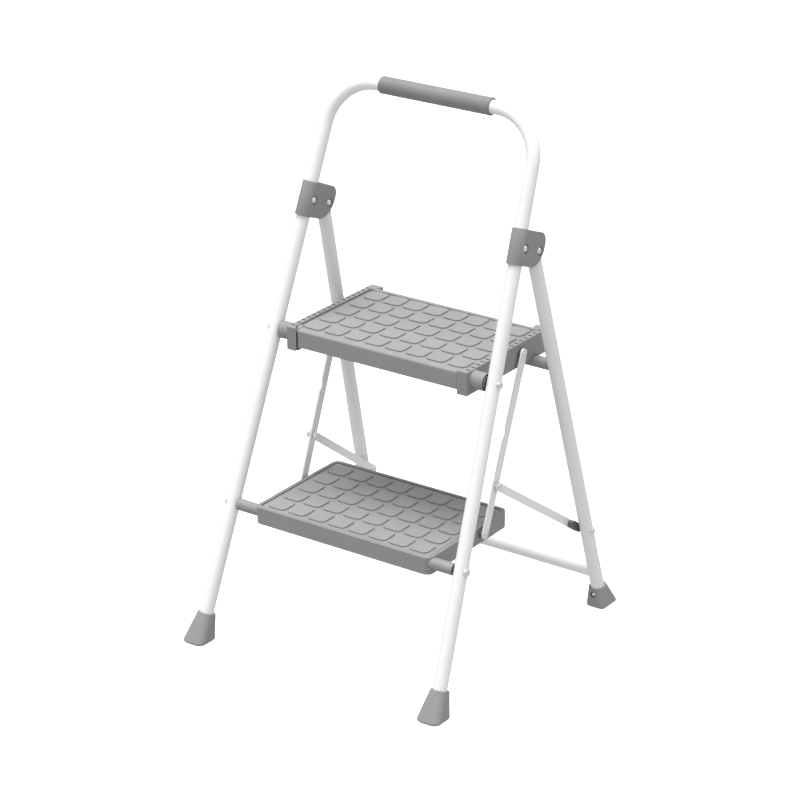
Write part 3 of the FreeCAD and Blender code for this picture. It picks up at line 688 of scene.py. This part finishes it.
def end_cap():
    low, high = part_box("upper_end_cap_right")
    panel_low, panel_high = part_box("upper_tread_panel")
    pivot = centre_of("upper_pivot_tube")
    bar = centre_of("upper_rest_bar")
    inner = panel_high.x + CAP_GAP
    outline = [
        (CAP_SIDE, low.y), (CAP_SIDE, high.y), (low.x, high.y), (low.x, high.y - TAIL_WIDTH),
        (STRIP, high.y - FLARE_BACK), (STRIP, low.y + FLARE_FRONT), (inner, low.y)]
    name = "upper_end_cap_moulding_right"
    cap = prism(name, outline, (low.z, high.z), CAP_CORNER, CAP_EDGE)
    under = panel_high.z - TOP_DROP - LIP_STEP - SKIN - FLANGE_ROOM
    flange_x = (inner, STRIP + FLANGE_OVERLAP)
    flange_y = (low.y + FLANGE_FRONT, high.y - FLANGE_BACK)
    combine(cap, "UNION", box("flange", flange_x, flange_y, (low.z, under), FLANGE_EDGE))
    wells = cap_wells(inner, high.y, low.z - CUT, under - WELL_ROOF, pivot, bar)
    combine(cap, "DIFFERENCE", wells)
    combine(cap, "UNION", cap_boss(inner + 1 * MM, high.x, pivot))
    combine(cap, "DIFFERENCE", cap_slots(low.y, high.y, high.z))
    cut_notch(cap, low.z, bar)
    place(smooth(cap), "upper_tread", "upper_end_cap_right")
    other = mirrored(cap, "upper_end_cap_moulding_left")
    keep_flat(other)
    place(other, "upper_tread", "upper_end_cap_left")


# The hand grip.

TUBE_RADIUS = 11.0 * MM
GRIP_ROOM = 0.9 * MM        # gap between the sleeve's end and the tube
GRIP_SEAT = 0.1 * MM        # and between the rest of the sleeve and the tube
GRIP_EDGE = 1.3 * MM
GRIP_BULGE = 0.25 * MM      # how much fuller the sleeve is near its ends
GRIP_SIDES = 96


def hand_grip():
    """The foam sleeve, with rolled ends that stand a little off the tube."""
    low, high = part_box("hand_grip")
    middle = (low + high) / 2
    outer = (high.z - low.z) / 2
    half = (high.x - low.x) / 2
    mouth = TUBE_RADIUS + GRIP_ROOM
    end = [
        (half - 9 * MM, TUBE_RADIUS + GRIP_SEAT), (half - 8 * MM, mouth), (half - 0.5 * MM, mouth),
        (half, mouth + 0.5 * MM)]
    end += quarter((half - GRIP_EDGE, outer - GRIP_EDGE), GRIP_EDGE, 0)
    end += [
        (half - 4 * MM, outer), (half - 7 * MM, outer - GRIP_BULGE),
        (half - 12 * MM, outer - GRIP_BULGE / 2)]
    profile = end + [(-x, radius) for x, radius in reversed(end)]
    grip = turned("foam_grip", profile, middle.y, middle.z, GRIP_SIDES, hollow=True)
    place(smooth(grip), "front_frame", "hand_grip")


SOFT_EDGE = 0.7 * MM        # rounding on the brackets' and feet's edges


def dress_cad_nodes():
    """Gives every CAD node its finish, and softens the edges of the moulded ones that show."""
    for node, obj in frame["nodes"].items():
        for material_slot in obj.material_slots:
            material_slot.material = FINISHES[SLOTS[node]]
        if SLOTS[node] == "grey_plastic" and not obj.hide_render:
            weld = obj.modifiers.new("weld", "WELD")
            weld.merge_threshold = 10 * SAME
            bevel = obj.modifiers.new("soft edges", "BEVEL")
            bevel.width = SOFT_EDGE
            bevel.segments = 3
            bevel.limit_method = "ANGLE"
            bevel.angle_limit = math.radians(40)
            bevel.harden_normals = True


# Stage.

FLOOR_RADIUS = 40.0
KEY_TOWARDS = Vector((0.15, 0.10, -0.98))
KEY_STRENGTH = 2.85
KEY_SOFTNESS = math.radians(35)


def add_camera():
    flat = math.cos(CAMERA_ELEVATION)
    back = Vector((
        math.sin(CAMERA_AZIMUTH) * flat,
        -math.cos(CAMERA_AZIMUTH) * flat,
        math.sin(CAMERA_ELEVATION)))
    data = bpy.data.cameras.new("camera")
    data.lens = CAMERA_LENS
    camera = bpy.data.objects.new("camera", data)
    bpy.context.scene.collection.objects.link(camera)
    camera.rotation_mode = "QUATERNION"
    camera.rotation_quaternion = (-back).to_track_quat("-Z", "Y")
    camera.location = CAMERA_TARGET + back * CAMERA_DISTANCE
    bpy.context.scene.camera = camera


def add_sun():
    """A broad key light from above, a little to the left and in front."""
    data = bpy.data.lights.new("key", "SUN")
    data.energy = KEY_STRENGTH
    data.angle = KEY_SOFTNESS
    light = bpy.data.objects.new("key", data)
    bpy.context.scene.collection.objects.link(light)
    light.rotation_mode = "QUATERNION"
    light.rotation_quaternion = KEY_TOWARDS.to_track_quat("-Z", "Y")


def add_floor():
    """A plain white floor, lit enough that it blends into the backdrop and throws nothing back."""
    bm = bmesh.new()
    bmesh.ops.create_circle(bm, cap_ends=True, radius=FLOOR_RADIUS, segments=96)
    floor = add_object("floor", bm)
    color = (0.80, 0.80, 0.80)
    glow = (1, 1, 1, 1)
    material = principled("floor_white", color, 0.9, Emission_Color=glow, Emission_Strength=0.62)
    tint(material, color, 0.6, 0.01, 40.0, 0.005)
    floor.data.materials.append(material)
    floor.visible_diffuse = False
    floor.visible_glossy = False


# Brightness of the sky by how far up it is: -1 is straight down.
SKY = ((-1.0, 0.66), (-0.28, 0.66), (-0.10, 0.44), (0.03, 0.44), (0.22, 0.82), (1.0, 1.22))


def add_sky():
    """A soft studio dome with a dim horizon, which draws the edges of the tubes."""
    world = bpy.data.worlds.new("sky")
    bpy.context.scene.world = world
    world.use_nodes = True
    tree = world.node_tree
    direction = tree.nodes.new("ShaderNodeTexCoord")
    split = tree.nodes.new("ShaderNodeSeparateXYZ")
    height = tree.nodes.new("ShaderNodeMapRange")
    height.inputs["From Min"].default_value = -1
    ramp = tree.nodes.new("ShaderNodeValToRGB")
    tree.links.new(direction.outputs["Generated"], split.inputs[0])
    tree.links.new(split.outputs["Z"], height.inputs["Value"])
    tree.links.new(height.outputs["Result"], ramp.inputs["Fac"])
    tree.links.new(ramp.outputs["Color"], tree.nodes["Background"].inputs["Color"])
    ends = ramp.color_ramp.elements
    stops = [(ends[0], SKY[0]), (ends[1], SKY[-1])]
    stops += [(ends.new((stop[0] + 1) / 2), stop) for stop in SKY[1:-1]]
    for element, (up, level) in stops:
        element.position = (up + 1) / 2
        element.color = (level, level, level, 1)


upper_tread()
lower_tread()
end_cap()
hand_grip()
dress_cad_nodes()
add_camera()
add_floor()
add_sky()
add_sun()
bpy.context.scene.view_settings.view_transform = "Standard"
